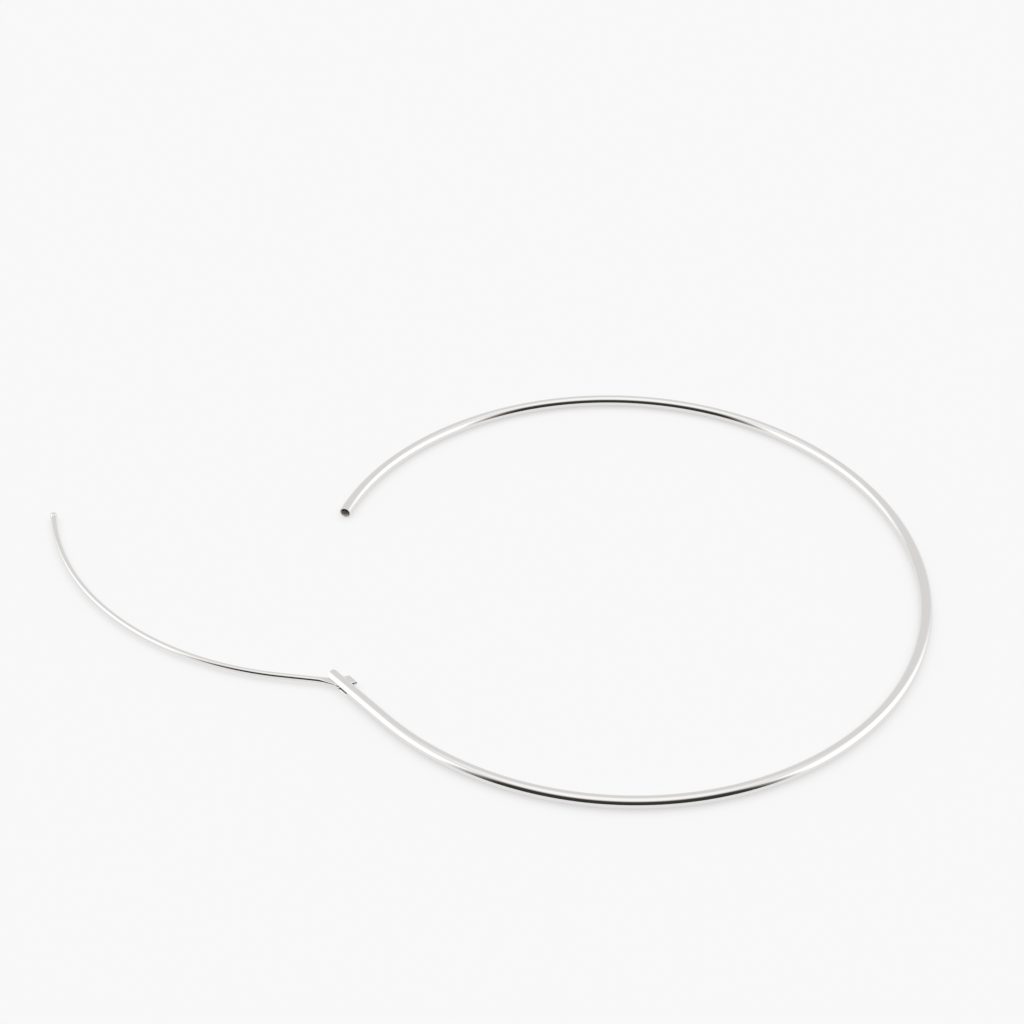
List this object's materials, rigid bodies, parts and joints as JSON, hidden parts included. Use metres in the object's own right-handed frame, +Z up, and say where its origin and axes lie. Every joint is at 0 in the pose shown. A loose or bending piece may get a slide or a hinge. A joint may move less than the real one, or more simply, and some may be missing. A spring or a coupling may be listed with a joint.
{
  "type": "hoop earring",
  "caption": "Large thin tube hoop earring in polished silver with a hinged ear wire that swings in the plane of the hoop and springs into its open tube end.",
  "frame": {"origin": "middle of the lying earring's plan, wire swung open, on the surface that it lies on", "axes": "+X from the tip of the open ear wire across the hoop, +Z up out of the plane of the hoop"},
  "size_m": [0.1396, 0.096, 0.002],
  "materials": {
    "polished_silver": "polished sterling silver"
  },
  "bodies": {
    "hoop": {"hoop_tube": "polished_silver", "hinge_rivet": "polished_silver"},
    "wire": {"ear_wire": "polished_silver"}
  },
  "joints": [
    {"name": "wire_hinge", "type": "hinge", "parent": "hoop", "child": "wire", "pos_m": [-0.02016, -0.02357, 0.001], "axis": [0, 0, 1], "range_deg": [-64.4, 25.6]}
  ]
}
